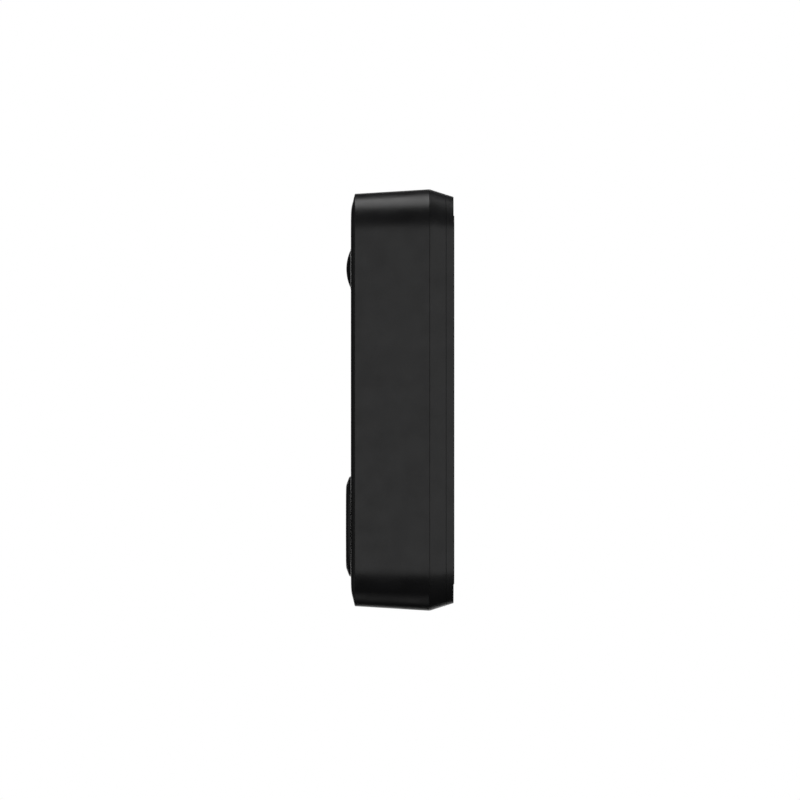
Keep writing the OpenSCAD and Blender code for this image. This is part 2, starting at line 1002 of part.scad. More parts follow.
wall_plate();
rear_cover();
main_housing();
front_panel();
panel_adhesive();
cover_seal();
rear_cover_screws();
lock_screw();
lens_window();
lens_trim();
lens_baffle();
lens_barrel();
lens_front_element();
lens_middle_element();
lens_rear_element();
lens_holder();
filter_carrier();
ir_cut_filter();
clear_filter();
carrier_magnet();
filter_coil();
image_sensor();
sensor_glass();
camera_board();
board_screws();
ir_board();
ir_leds();
light_sensor();
microphone();
microphone_boot();
button_cap();
button_pad();
switch_plunger();
switch_body();
button_seal();
light_ring();
ring_leds();
button_board();
speaker_frame();
speaker_yoke();
speaker_magnet();
voice_coil();
speaker_cone();
speaker_surround();
speaker_gasket();
speaker_mesh();
main_board();
processor();
shield_can();
thermal_pad();
heat_spreader();
backup_battery();
wifi_antenna();
terminal_posts();
terminal_screws();
terminal_washers();
setup_button();
setup_switch();
board_connectors();
flex_ribbons();
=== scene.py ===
"""Looks of the wired video doorbell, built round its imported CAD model.

The frame has X across the body and Z up; the front faces -Y and the wall is the plane y = 0.
Outer skins that the eye meets are lofted or turned here, and stand for their CAD nodes.
All other nodes keep their CAD meshes and get smooth shading and a procedural material.
"""

import json
import math

import bmesh
import bpy
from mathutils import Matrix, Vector


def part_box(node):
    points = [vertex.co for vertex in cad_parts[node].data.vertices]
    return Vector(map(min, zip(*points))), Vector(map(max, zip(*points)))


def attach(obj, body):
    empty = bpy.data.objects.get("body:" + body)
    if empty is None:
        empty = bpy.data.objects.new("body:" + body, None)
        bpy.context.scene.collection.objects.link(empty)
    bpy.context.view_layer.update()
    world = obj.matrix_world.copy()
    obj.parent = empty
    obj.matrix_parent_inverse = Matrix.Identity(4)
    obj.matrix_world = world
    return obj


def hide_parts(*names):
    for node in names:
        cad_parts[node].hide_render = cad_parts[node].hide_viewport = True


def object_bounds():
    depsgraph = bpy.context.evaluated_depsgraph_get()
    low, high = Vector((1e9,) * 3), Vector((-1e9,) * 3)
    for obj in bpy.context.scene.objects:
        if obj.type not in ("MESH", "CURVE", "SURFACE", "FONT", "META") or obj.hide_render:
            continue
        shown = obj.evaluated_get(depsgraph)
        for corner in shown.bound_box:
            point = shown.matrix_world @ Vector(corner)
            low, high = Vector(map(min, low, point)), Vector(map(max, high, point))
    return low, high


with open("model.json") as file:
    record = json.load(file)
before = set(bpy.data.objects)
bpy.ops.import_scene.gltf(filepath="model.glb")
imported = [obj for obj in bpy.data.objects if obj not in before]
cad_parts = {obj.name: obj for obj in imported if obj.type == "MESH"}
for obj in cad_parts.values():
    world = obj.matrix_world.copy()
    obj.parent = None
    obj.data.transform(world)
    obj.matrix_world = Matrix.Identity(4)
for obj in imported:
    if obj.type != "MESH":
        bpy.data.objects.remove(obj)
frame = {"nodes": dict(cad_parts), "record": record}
CAD_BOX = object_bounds()

MM = 0.001

# Shading of the CAD meshes: welding distance in metres, and the angle of an edge that stays crisp
WELD_DISTANCE = 1e-7
SHARP_ANGLE = math.radians(32)

# The same angle for the pieces made here, whose rounded corners turn more at each facet
PIECE_SHARP_ANGLE = math.radians(50)

# Corner facets of an outline, facets of a turned piece, and steps in a rounded profile corner
CORNER_STEPS = 20
TURNS = 128
ROUND_STEPS = 5

# The body's outline at the belt, from the CAD boxes
HOUSING_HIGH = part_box("main_housing")[1]
HALF_W = HOUSING_HIGH.x / MM
HALF_H = HOUSING_HIGH.z / MM
BELT_DEPTH = -HOUSING_HIGH.y / MM
FACE_DEPTH = -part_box("front_panel")[0].y / MM
CORNER_R = 9.0

# How the front is drawn in: the lean of the side walls and the crown of the face
FRONT_INSET = 0.9
CROWN_DROP = 0.8
CROWN_RUN = 5.5
CROWN_STEPS = 12
LIP_RUN = 1.3

# Housing: its front wall's outer and inner faces, its cavity, and the step that takes the rear cover
FLOOR_DEPTH = 18.45
CEILING_DEPTH = 16.9
CAVITY_INSET = 2.3
SEAL_INSET = 1.2
SEAL_DEPTH = 5.5

# Front panel: its gap to the housing's lip, where its face is level, and the step behind its openings
PANEL_BACK = -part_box("front_panel")[1].y / MM
PANEL_GAP = 0.08
PANEL_FOOT = 1.1
LEVEL_RUN = 3.9
STEP_DEPTH = 19.15
OPENING_EASE = 0.15
LENS_OPENING_R, LENS_STEP_R = 4.03, 5.3
BUTTON_OPENING_R, BUTTON_STEP_R = 11.4, 12.4
MICROPHONE_R = 0.5

# Button: its flange, its dished face as (radius, sink), the slope at its edge, and its hollow back
BUTTON_LIP_W, BUTTON_LIP_T = 0.65, 0.9
BUTTON_DISH = ((0, 0.06), (2, 0.055), (5, 0.03), (7, 0.004))
BUTTON_FACE_R = 8.1
BUTTON_SLOPE = 0.7
BUTTON_WALL = 1.2
BUTTON_CEILING = 19.9
PAD_R, PAD_FRONT = 2.6, 18.2

# Lens window, its trim, and the light ring with the light pipe behind it
LENS_R = 4.0
WINDOW_R = 3.58
WINDOW_T = 0.9
TRIM_INNER = 3.61
FLANGE_TOP = 19.1
RING_INNER, RING_OUTER = 10.15, 11.35
PIPE_INNER, PIPE_OUTER = 10.8, 11.5

# Painted into the lens window: a dark violet middle zone, partly the lens behind and partly a painted
# reflection of its coating, and a fine pale circle round it as a painted glint
LENS_REFLECTED_TINT = (0.022, 0.012, 0.05)
LENS_REFLECTION_ZONE = (0.95, 1.9)
LENS_GLINT_CIRCLE = (2.25, 0.12)


def middle(node):
    """Centre of a round part in X and Z, from its own CAD box."""
    low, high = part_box(node)
    return (low.x + high.x) / 2 / MM, (low.z + high.z) / 2 / MM


LENS_AT = middle("lens_window")
BUTTON_AT = middle("button_cap")
SPEAKER_AT = middle("speaker_frame")
MICROPHONE_AT = middle("microphone")
LED_R = 1.5
LED_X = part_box("ir_leds")[1].x / MM - LED_R

# Openings through the housing's front wall: centre and radius
HOUSING_OPENINGS = (
    (LENS_AT, 3.9), (SPEAKER_AT, 6.5), (BUTTON_AT, 11.6), (MICROPHONE_AT, 0.6),
    (middle("light_sensor"), 0.9), ((-LED_X, LENS_AT[1]), 2.0), ((LED_X, LENS_AT[1]), 2.0),
)

# Speaker slots in the front panel: height from the speaker's centre, and length
GRILLE_SLOTS = ((-4.4, 5.0), (-2.2, 9.0), (0.0, 10.5), (2.2, 9.0), (4.4, 5.0))
SLOT_W = 1.0


# ---- mesh tools: profiles are lists of (distance, depth) in millimetres ----

def rounded(profile, closed=False):
    """Points along a profile whose corners are (distance, depth, radius), each rounded by an arc."""
    points = []
    count = len(profile)
    for i, (a, b, radius) in enumerate(profile):
        corner = Vector((a, b))
        at_end = not closed and i in (0, count - 1)
        if radius <= 0 or at_end:
            points.append((a, b))
            continue
        before = Vector(profile[i - 1][:2]) - corner
        after = Vector(profile[(i + 1) % count][:2]) - corner
        reach = min(radius, before.length * 0.49, after.length * 0.49)
        start = corner + before.normalized() * reach
        end = corner + after.normalized() * reach
        for k in range(ROUND_STEPS + 1):
            t = k / ROUND_STEPS
            point = start * (1 - t) ** 2 + corner * 2 * t * (1 - t) + end * t ** 2
            points.append((point.x, point.y))
    return points


def outline_ring(inset, depth):
    """The body's rounded outline, drawn in from the belt by an inset, at a depth from the wall."""
    radius = CORNER_R - inset
    ring = []
    for corner, (sx, sz) in enumerate(((1, 1), (-1, 1), (-1, -1), (1, -1))):
        cx = sx * (HALF_W - CORNER_R)
        cz = sz * (HALF_H - CORNER_R)
        for k in range(CORNER_STEPS + 1):
            angle = math.pi / 2 * (corner + k / CORNER_STEPS)
            ring.append((cx + radius * math.cos(angle), cz + radius * math.sin(angle), depth))
    return ring


def hole_ring(centre, radius, depth, straight=0.0, steps=48):
    """A circle, or a slot with round ends that lies along X, at a depth from the wall."""
    ring = []
    for k in range(steps):
        angle = 2 * math.pi * (k + 0.5) / steps
        end = math.copysign(straight / 2, math.cos(angle))
        x = centre[0] + end + radius * math.cos(angle)
        ring.append((x, centre[1] + radius * math.sin(angle), depth))
    return ring


def add_ring(mesh, ring):
    return [mesh.verts.new((x * MM, -depth * MM, z * MM)) for x, z, depth in ring]


def join_rings(mesh, first, second):
    count = len(first)
    for i in range(count):
        j = (i + 1) % count
        mesh.faces.new((first[i], first[j], second[j], second[i]))


def loft(mesh, rings, closed=False):
    """Skins a list of rings with equal counts, and returns their vertices."""
    made = [add_ring(mesh, ring) for ring in rings]
    for first, second in zip(made, made[1:]):
        join_rings(mesh, first, second)
    if closed:
        join_rings(mesh, made[-1], made[0])
    return made


def ring_edges(mesh, ring):
    count = len(ring)
    edges = []
    for i in range(count):
        pair = (ring[i], ring[(i + 1) % count])
        edges.append(mesh.edges.get(pair) or mesh.edges.new(pair))
    return edges


def fill_plate(mesh, outer, holes):
    """A flat face inside a ring, with openings at the hole rings."""
    edges = ring_edges(mesh, outer)
    for hole in holes:
        edges += ring_edges(mesh, hole)
    bmesh.ops.triangle_fill(mesh, use_beauty=True, use_dissolve=False, edges=edges)


def drilled(mesh, centre, profile, straight=0.0):
    """A hole's wall through a plate: (radius, depth, rounding) corners from front to back."""
    rings = [hole_ring(centre, r, depth, straight) for r, depth in rounded(profile)]
    made = loft(mesh, rings)
    return made[0], made[-1]


def finish_piece(mesh, name, body, node, slot):
    """Turns a bmesh into a piece that stands for a CAD node and rides on its body."""
    bmesh.ops.recalc_face_normals(mesh, faces=mesh.faces)
    data = bpy.data.meshes.new(name)
    mesh.to_mesh(data)
    mesh.free()
    piece = bpy.data.objects.new(name, data)
    bpy.context.scene.collection.objects.link(piece)
    data.shade_smooth()
    data.set_sharp_from_angle(angle=PIECE_SHARP_ANGLE)
    weighted = piece.modifiers.new("even_normals", "WEIGHTED_NORMAL")
    weighted.keep_sharp = True
    data.materials.append(MATERIALS[slot])
    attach(piece, body)
    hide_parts(node)
    return piece


def turned(name, body, node, slot, centre, profile, closed=True):
    """A piece turned about an axis along Y. A profile that isn't closed starts and ends on the axis."""
    points = rounded(profile, closed)
    mesh = bmesh.new()
    if closed:
        rings = [hole_ring(centre, r, depth, steps=TURNS) for r, depth in points]
        loft(mesh, rings, closed=True)
    else:
        rings = [hole_ring(centre, r, depth, steps=TURNS) for r, depth in points[1:-1]]
        made = loft(mesh, rings)
        for ring, (_, depth) in ((made[0], points[0]), (made[-1], points[-1])):
            pole = mesh.verts.new((centre[0] * MM, -depth * MM, centre[1] * MM))
            for i in range(TURNS):
                mesh.faces.new((ring[i], ring[(i + 1) % TURNS], pole))
    return finish_piece(mesh, name, body, node, slot)


# ---- procedural materials ----

class Shader:
    """A Principled material and the few node patterns that the finishes share."""

    def __init__(self, name, **sockets):
        self.material = bpy.data.materials.new(name)
        self.material.use_nodes = True
        self.tree = self.material.node_tree
        self.surface = self.tree.nodes["Principled BSDF"]
        for socket, value in sockets.items():
            self.surface.inputs[socket.replace("_", " ")].default_value = value
        self.place = self.tree.nodes.new("ShaderNodeTexCoord").outputs["Object"]

    def link(self, output, socket):
        self.tree.links.new(output, socket)

    def noise(self, size, detail=3.0, stretch=None):
        """Noise whose features are about a size in millimetres, stretched along an axis if asked."""
        node = self.tree.nodes.new("ShaderNodeTexNoise")
        node.inputs["Scale"].default_value = 1 / (size * MM)
        node.inputs["Detail"].default_value = detail
        self.link(self.stretched(stretch), node.inputs["Vector"])
        return node.outputs["Fac"]

    def cells(self, size, feature="F1"):
        node = self.tree.nodes.new("ShaderNodeTexVoronoi")
        node.feature = feature
        node.inputs["Scale"].default_value = 1 / (size * MM)
        self.link(self.place, node.inputs["Vector"])
        return node.outputs["Distance"]

    def stripes(self, size, axis, distortion=0.0):
        node = self.tree.nodes.new("ShaderNodeTexWave")
        node.bands_direction = axis
        node.inputs["Scale"].default_value = 1 / (size * MM) / 3.2
        node.inputs["Distortion"].default_value = distortion
        self.link(self.place, node.inputs["Vector"])
        return node.outputs["Fac"]

    def stretched(self, stretch):
        if stretch is None:
            return self.place
        node = self.tree.nodes.new("ShaderNodeMapping")
        node.inputs["Scale"].default_value = stretch
        self.link(self.place, node.inputs["Vector"])
        return node.outputs["Vector"]

    def spread(self, pattern, low, high, start=0.3, end=0.7):
        node = self.tree.nodes.new("ShaderNodeMapRange")
        for socket, value in zip(("From Min", "From Max", "To Min", "To Max"), (start, end, low, high)):
            node.inputs[socket].default_value = value
        self.link(pattern, node.inputs["Value"])
        return node.outputs["Result"]

    def blend(self, factor, first, second):
        """Mixes two colours, each a triple or another pattern's colour output."""
        node = self.tree.nodes.new("ShaderNodeMix")
        node.data_type = "RGBA"
        self.link(factor, node.inputs["Factor"])
        for socket, colour in (("A", first), ("B", second)):
            target = [s for s in node.inputs if s.name == socket and s.type == "RGBA"][0]
            if isinstance(colour, tuple):
                target.default_value = (*colour, 1)
            else:
                self.link(colour, target)
        return [s for s in node.outputs if s.type == "RGBA"][0]

    def edges(self, radius):
        """1 on edges that are sharper than a radius in millimetres, 0 on flat faces."""
        bevel = self.tree.nodes.new("ShaderNodeBevel")
        bevel.samples = 6
        bevel.inputs["Radius"].default_value = radius * MM
        plain = self.tree.nodes.new("ShaderNodeNewGeometry")
        dot = self.tree.nodes.new("ShaderNodeVectorMath")
        dot.operation = "DOT_PRODUCT"
        self.link(bevel.outputs["Normal"], dot.inputs[0])
        self.link(plain.outputs["Normal"], dot.inputs[1])
        return self.spread(dot.outputs["Value"], 1, 0, 0.8, 0.995), bevel.outputs["Normal"]

    def distance_from(self, centre):
        """Distance in metres from an axis along Y."""
        flat = self.tree.nodes.new("ShaderNodeVectorMath")
        flat.operation = "MULTIPLY_ADD"
        flat.inputs[1].default_value = (1, 0, 1)
        flat.inputs[2].default_value = (-centre[0] * MM, 0, -centre[1] * MM)
        self.link(self.place, flat.inputs[0])
        length = self.tree.nodes.new("ShaderNodeVectorMath")
        length.operation = "LENGTH"
        self.link(flat.outputs["Vector"], length.inputs[0])
        return length.outputs["Value"]

    def band(self, value, middle_value, half_width):
        """1 where a value is near a middle value, 0 beyond half a width from it."""
        node = self.tree.nodes.new("ShaderNodeMath")
        node.operation = "COMPARE"
        node.inputs[1].default_value = middle_value
        node.inputs[2].default_value = half_width
        self.link(value, node.inputs[0])
        return node.outputs["Value"]

    def bump(self, pattern, height, strength=0.5, over=None):
        node = self.tree.nodes.new("ShaderNodeBump")
        node.inputs["Strength"].default_value = strength
        node.inputs["Distance"].default_value = height * MM
        self.link(pattern, node.inputs["Height"])
        if over is not None:
            self.link(over, node.inputs["Normal"])
        return node.outputs["Normal"]

    def finish(self, colour=None, roughness=None, normal=None):
        for output, socket in ((colour, "Base Color"), (roughness, "Roughness"), (normal, "Normal")):
            if output is not None:
                self.link(output, self.surface.inputs[socket])
        return self.material


def shade(colour, factor):
    return tuple(min(1.0, c * factor) for c in colour)


def moulded(name, colour, rough=0.38, grain=0.16, height=0.004, wear=1.8, radius=0.12, **sockets):
    """Moulded plastic or rubber: mottled colour, fine grain and edges that are worn smooth."""
    s = Shader(name, **sockets)
    worn, rounded_normal = s.edges(radius)
    mottled = s.blend(s.spread(s.noise(6), 0, 1), shade(colour, 0.9), shade(colour, 1.1))
    specks = s.blend(s.spread(s.noise(grain * 3), 0, 0.35, 0.55, 0.75), mottled, shade(colour, 1.35))
    tone = s.blend(worn, specks, shade(colour, wear))
    patchy = s.spread(s.noise(4, 5), rough - 0.05, rough + 0.05)
    normal = s.bump(s.noise(grain, 2), height, 0.5, rounded_normal)
    return s.finish(tone, patchy, normal)


def polished(name, colour, rough=0.08, radius=0.1, peel=0.2, **sockets):
    """Gloss plastic or tinted window: faint orange peel, fine dust and paler edges."""
    s = Shader(name, **sockets)
    worn, rounded_normal = s.edges(radius)
    tone = s.blend(s.spread(s.noise(9), 0, 1), shade(colour, 0.85), shade(colour, 1.15))
    tone = s.blend(worn, tone, shade(colour, 1.6))
    dust = s.spread(s.noise(0.4, 5), rough * 0.9, rough * 1.5, 0.5, 0.8)
    normal = s.bump(s.noise(3.5, 1), 0.001, peel, rounded_normal)
    return s.finish(tone, dust, normal)


def lens_face(name, colour, rough=0.04):
    """Tinted dome painted with the coated lens behind it: a dark violet middle, partly the lens and
    partly a painted reflection of its coating, inside a fine pale circle that is a painted glint.
    """
    s = Shader(name, Coat_Weight=0.3)
    reach = s.distance_from(LENS_AT)
    # Painted reflection and painted glint: the coating's violet in the middle zone, and a pale circle
    # round it
    coating_reflection_zone = s.spread(reach, 1, 0, *(r * MM for r in LENS_REFLECTION_ZONE))
    circle = s.band(reach, *(r * MM for r in LENS_GLINT_CIRCLE))
    tone = s.blend(coating_reflection_zone, colour, LENS_REFLECTED_TINT)
    tone = s.blend(s.spread(s.noise(1.2), 0, 0.4), tone, shade(colour, 0.7))
    tone = s.blend(circle, tone, shade(colour, 7))
    dust = s.spread(s.noise(0.3, 5), rough, rough * 2, 0.5, 0.8)
    return s.finish(tone, dust, s.bump(s.noise(2, 1), 0.001, 0.2))


def metal(name, colour, rough=0.3, stretch=(1, 8, 1), radius=0.06, marked=0.3, **sockets):
    """Plated or machined metal with fine tool marks and brighter edges."""
    s = Shader(name, Metallic=1.0, **sockets)
    worn, rounded_normal = s.edges(radius)
    marks = s.noise(0.25, 5, stretch=stretch)
    tone = s.blend(s.spread(marks, 0, 1), shade(colour, 0.82), shade(colour, 1.08))
    tone = s.blend(worn, tone, shade(colour, 1.25))
    patchy = s.spread(marks, rough - 0.08, rough + 0.1)
    normal = s.bump(marks, 0.004, marked, rounded_normal)
    return s.finish(tone, patchy, normal)


def foam(name, colour):
    s = Shader(name)
    pores = s.cells(0.3)
    # The pore hollows are painted darker and the cell walls lighter, as painted shade in the pores
    tone = s.blend(s.spread(pores, 0, 1, 0.1, 0.7), shade(colour, 0.5), shade(colour, 1.4))
    return s.finish(tone, s.spread(pores, 0.95, 0.8), s.bump(pores, 0.08, 0.8))


def circuit_board(name, colour):
    """Green solder mask over copper tracks, which stand a little proud and show paler."""
    s = Shader(name, Coat_Weight=0.4)
    tracks = s.spread(s.cells(1.7, "DISTANCE_TO_EDGE"), 1, 0, 0.05, 0.09)
    mask = s.blend(s.spread(s.noise(3), 0, 1), shade(colour, 0.85), shade(colour, 1.15))
    tone = s.blend(tracks, mask, shade(colour, 1.9))
    rough = s.spread(s.noise(0.4, 4), 0.28, 0.42)
    return s.finish(tone, rough, s.bump(tracks, 0.02, 0.6))


def glass(name, colour, rough=0.02):
    """Coated optical glass: the coating's tint drifts slightly, and the surface carries fine dust."""
    s = Shader(name, IOR=1.52, Transmission_Weight=0.85)
    tone = s.blend(s.spread(s.noise(2.5), 0, 1), shade(colour, 0.9), shade(colour, 1.1))
    dust = s.spread(s.noise(0.15, 5), rough, rough + 0.1, 0.6, 0.8)
    return s.finish(tone, dust, s.bump(s.noise(1.5, 1), 0.001, 0.2))


def wound(name, colour, pitch=0.18, axis="Y"):
    """Enamelled wire in even turns, painted darker at the grooves between turns as painted shade."""
    s = Shader(name, Metallic=0.9)
    turns = s.stripes(pitch, axis, 0.3)
    tone = s.blend(turns, shade(colour, 0.35), shade(colour, 1.15))
    return s.finish(tone, s.spread(turns, 0.5, 0.25), s.bump(turns, 0.06, 0.9))


def paper(name, colour):
    s = Shader(name)
    fibres = s.noise(0.35, 8, stretch=(1, 1, 3))
    tone = s.blend(s.spread(fibres, 0, 1), shade(colour, 0.7), shade(colour, 1.3))
    return s.finish(tone, s.spread(fibres, 0.9, 0.75), s.bump(fibres, 0.03, 0.6))


def ribbon(name, colour):
    """Polyimide film with copper lines under it."""
    s = Shader(name, Coat_Weight=0.3)
    lines = s.stripes(0.5, "X")
    tone = s.blend(s.spread(lines, 0, 1, 0.5, 0.6), shade(colour, 0.7), shade(colour, 1.3))
    return s.finish(tone, s.spread(s.noise(0.8), 0.3, 0.45), s.bump(lines, 0.01, 0.5))


def make_materials():
    """One material for each slot of the record, in the record's own colours."""
    colours = {m["slot"]: tuple(m["base_color"][:3]) for m in frame["record"]["materials"]}
    kinds = {
        "housing_black": (moulded, dict(rough=0.34, wear=1.3, radius=0.08)),
        "rear_black": (moulded, dict(rough=0.34, wear=1.3, radius=0.05)),
        "plate_black": (moulded, dict(rough=0.36, grain=0.2, wear=1.3, radius=0.05)),
        "panel_gloss": (polished, dict(rough=0.09)),
        "button_gloss": (polished, dict(rough=0.26, peel=0.02)),
        "lens_gloss": (lens_face, {}),
        "trim_black": (metal, dict(rough=0.3, marked=0.05)),
        "light_diffuser": (moulded, dict(rough=0.3, wear=1.1, Subsurface_Weight=0.15)),
        "silicone_grey": (moulded, dict(rough=0.6, grain=0.25)),
        "foam_black": (foam, {}),
        "steel": (metal, dict(rough=0.28)),
        "black_steel": (metal, dict(rough=0.42)),
        "brass": (metal, dict(rough=0.3)),
        "aluminium": (metal, dict(rough=0.35, stretch=(8, 1, 1))),
        "board_green": (circuit_board, {}),
        "chip_black": (moulded, dict(rough=0.5, grain=0.1)),
        "inner_black": (moulded, dict(rough=0.5, grain=0.12)),
        "lens_glass": (glass, {}),
        "filter_violet": (glass, {}),
        "filter_clear": (glass, {}),
        "copper": (wound, {}),
        "led_white": (moulded, dict(rough=0.35, wear=1.1)),
        "led_infrared": (polished, dict(rough=0.12)),
        "sensor_cream": (moulded, dict(rough=0.45, wear=1.1)),
        "cone_grey": (paper, {}),
        "battery_blue": (polished, dict(rough=0.3)),
        "connector_cream": (moulded, dict(rough=0.5, wear=1.15)),
        "ribbon_amber": (ribbon, {}),
        "thermal_blue": (moulded, dict(rough=0.7, grain=0.3)),
    }
    made = {}
    for slot, (kind, settings) in kinds.items():
        made[slot] = kind(slot, colours[slot], **settings)
    return made


def make_crisp_shading():
    """A node group that welds a CAD mesh and marks as sharp every edge that turns by a set angle."""
    group = bpy.data.node_groups.new("crisp_shading", "GeometryNodeTree")
    group.interface.new_socket("Geometry", in_out="INPUT", socket_type="NodeSocketGeometry")
    group.interface.new_socket("Geometry", in_out="OUTPUT", socket_type="NodeSocketGeometry")
    start = group.nodes.new("NodeGroupInput")
    weld = group.nodes.new("GeometryNodeMergeByDistance")
    weld.inputs["Distance"].default_value = WELD_DISTANCE
    smooth = group.nodes.new("GeometryNodeSetShadeSmooth")
    angle = group.nodes.new("GeometryNodeInputMeshEdgeAngle")
    over = group.nodes.new("FunctionNodeCompare")
    over.inputs["B"].default_value = SHARP_ANGLE
    mark = group.nodes.new("GeometryNodeStoreNamedAttribute")
    mark.data_type = "BOOLEAN"
    mark.domain = "EDGE"
    mark.inputs["Name"].default_value = "sharp_edge"
    end = group.nodes.new("NodeGroupOutput")
    group.links.new(start.outputs[0], weld.inputs["Geometry"])
    group.links.new(weld.outputs["Geometry"], smooth.inputs["Geometry"])
    group.links.new(smooth.outputs["Geometry"], mark.inputs["Geometry"])
    group.links.new(angle.outputs["Unsigned Angle"], over.inputs["A"])
    group.links.new(over.outputs["Result"], mark.inputs["Value"])
    group.links.new(mark.outputs["Geometry"], end.inputs[0])
    return group


def dress_cad_nodes():
    """Gives each CAD node its slot's material, and smooth shading that keeps its edges crisp."""
    group = make_crisp_shading()
    for node in frame["nodes"].values():
        slot = node.material_slots[0].material.name.split(".")[0]
        node.data.materials[0] = MATERIALS[slot]
        crisp = node.modifiers.new("crisp_shading", "NODES")
        crisp.node_group = group
        weighted = node.modifiers.new("even_normals", "WEIGHTED_NORMAL")
        weighted.keep_sharp = True


# ---- outer pieces ----

def crown_depth(run):
    """Depth of the crowned face at a distance in from its outer edge."""
    return FACE_DEPTH - CROWN_DROP * (1 - min(run, CROWN_RUN) / CROWN_RUN) ** 2


def crown(start, end):
    """Profile points of the crown between two distances in from the front rim."""
    runs = [start + (end - start) * k / CROWN_STEPS for k in range(CROWN_STEPS + 1)]
    return [(FRONT_INSET + run, crown_depth(run), 0) for run in runs]


def eased_crown(start, end):
    """Profile points from the crown at one distance up to the level face at another."""
    drop = FACE_DEPTH - crown_depth(start)
    points = []
    for k in range(CROWN_STEPS + 1):
        t = k / CROWN_STEPS
        points.append((FRONT_INSET + start + (end - start) * t, FACE_DEPTH - drop * (1 - t) ** 2, 0))
    return points


def make_housing():
    lip = FRONT_INSET + LIP_RUN
    rim = crown(0, LIP_RUN)
    profile = [
        (CAVITY_INSET + 1, CEILING_DEPTH, 0),
        (CAVITY_INSET, CEILING_DEPTH, 0.5),
        (CAVITY_INSET, SEAL_DEPTH, 0.1),
        (SEAL_INSET, SEAL_DEPTH, 0.05),
        (SEAL_INSET, BELT_DEPTH, 0.1),
        (0.0, BELT_DEPTH, 0.1),
        (*rim[0][:2], 0.16),
        *rim[1:-1],
        (*rim[-1][:2], 0.08),
        (lip, FLOOR_DEPTH, 0.1),
        (lip + 1, FLOOR_DEPTH, 0),
    ]
    mesh = bmesh.new()
    made = loft(mesh, [outline_ring(inset, depth) for inset, depth in rounded(profile)])
    ends = [(FLOOR_DEPTH, 0), (CEILING_DEPTH, 0)]
    walls = [drilled(mesh, at, [(r, *end) for end in ends]) for at, r in HOUSING_OPENINGS]
    fill_plate(mesh, made[-1], [front for front, _ in walls])
    fill_plate(mesh, made[0], [back for _, back in walls])
    return finish_piece(mesh, "housing_moulding", "unit", "main_housing", "housing_black")


def make_front_panel():
    edge = LIP_RUN + PANEL_GAP
    face = eased_crown(edge, LEVEL_RUN)
    profile = [
        (FRONT_INSET + edge + PANEL_FOOT, PANEL_BACK, 0),
        (FRONT_INSET + edge, PANEL_BACK, 0.08),
        (*face[0][:2], 0.12),
        *face[1:],
    ]
    mesh = bmesh.new()
    made = loft(mesh, [outline_ring(inset, depth) for inset, depth in rounded(profile)])
    ease = OPENING_EASE
    stepped = [(LENS_AT, LENS_OPENING_R, LENS_STEP_R), (BUTTON_AT, BUTTON_OPENING_R, BUTTON_STEP_R)]
    walls = []
    for at, r, wide in stepped:
        steps = [(r + ease, FACE_DEPTH, 0), (r, FACE_DEPTH, ease), (r, STEP_DEPTH, 0)]
        steps += [(wide, STEP_DEPTH, 0), (wide, PANEL_BACK, 0)]
        walls.append(drilled(mesh, at, steps))
    through = [(MICROPHONE_AT, MICROPHONE_R, 0.0)]
    for rise, length in GRILLE_SLOTS:
        at = (SPEAKER_AT[0], SPEAKER_AT[1] + rise)
        through.append((at, SLOT_W / 2, length - SLOT_W))
    for at, r, straight in through:
        steps = [(r + ease, FACE_DEPTH, 0), (r, FACE_DEPTH, ease), (r, PANEL_BACK, 0)]
        walls.append(drilled(mesh, at, steps, straight))
    fill_plate(mesh, made[-1], [front for front, _ in walls])
    fill_plate(mesh, made[0], [back for _, back in walls])
    return finish_piece(mesh, "front_panel_glossy", "unit", "front_panel", "panel_gloss")


def make_button():
    low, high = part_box("button_cap")
    front = -low.y / MM
    back = -high.y / MM
    lip_r = (high.x - low.x) / 2 / MM
    lip_front = back + BUTTON_LIP_T
    cap_r = lip_r - BUTTON_LIP_W
    inner_r = cap_r - BUTTON_WALL
    profile = [(r, front - sink, 0) for r, sink in BUTTON_DISH]
    profile += [
        (BUTTON_FACE_R, front, 0.6), (cap_r, front - BUTTON_SLOPE, 0.5), (cap_r, lip_front, 0.05),
        (lip_r, lip_front, 0.1), (lip_r, back, 0.1), (inner_r, back, 0.1), (inner_r, BUTTON_CEILING, 0.3),
        (PAD_R, BUTTON_CEILING, 0.2), (PAD_R, PAD_FRONT, 0.1), (0, PAD_FRONT, 0),
    ]
    at = BUTTON_AT
    return turned("call_button_cap", "call_button", "button_cap", "button_gloss", at, profile, False)


def dome(radius, centre_depth, start, count):
    """Profile points along a dome, from a distance off the axis to just beside it."""
    points = []
    for k in range(count):
        r = start * (1 - k / count)
        points.append((r, centre_depth + math.sqrt(radius ** 2 - r ** 2), 0))
    return points


def make_lens_window():
    low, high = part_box("lens_window")
    back = -high.y / MM
    flange_r = (high.x - low.x) / 2 / MM
    top = -low.y / MM
    rise = top - FACE_DEPTH
    dome_r = (LENS_R ** 2 + rise ** 2) / (2 * rise)
    centre = top - dome_r
    inner_r = WINDOW_R - WINDOW_T
    outer = dome(dome_r, centre, WINDOW_R, 24)
    inner = dome(dome_r - WINDOW_T, centre, inner_r, 16)
    profile = [
        (0, top, 0), *reversed(outer), (WINDOW_R, FLANGE_TOP, 0), (flange_r, FLANGE_TOP, 0.1),
        (flange_r, back, 0.1), (inner_r, back, 0), *inner, (0, top - WINDOW_T, 0),
    ]
    return turned("lens_dome", "unit", "lens_window", "lens_gloss", LENS_AT, profile, False)


def make_lens_trim():
    low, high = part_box("lens_trim")
    outer = (high.x - low.x) / 2 / MM
    front = -low.y / MM
    back = -high.y / MM
    profile = [(TRIM_INNER, back, 0), (outer, back, 0), (outer, front, 0.14), (TRIM_INNER, front, 0.1)]
    return turned("lens_ring_trim", "unit", "lens_trim", "trim_black", LENS_AT, profile)


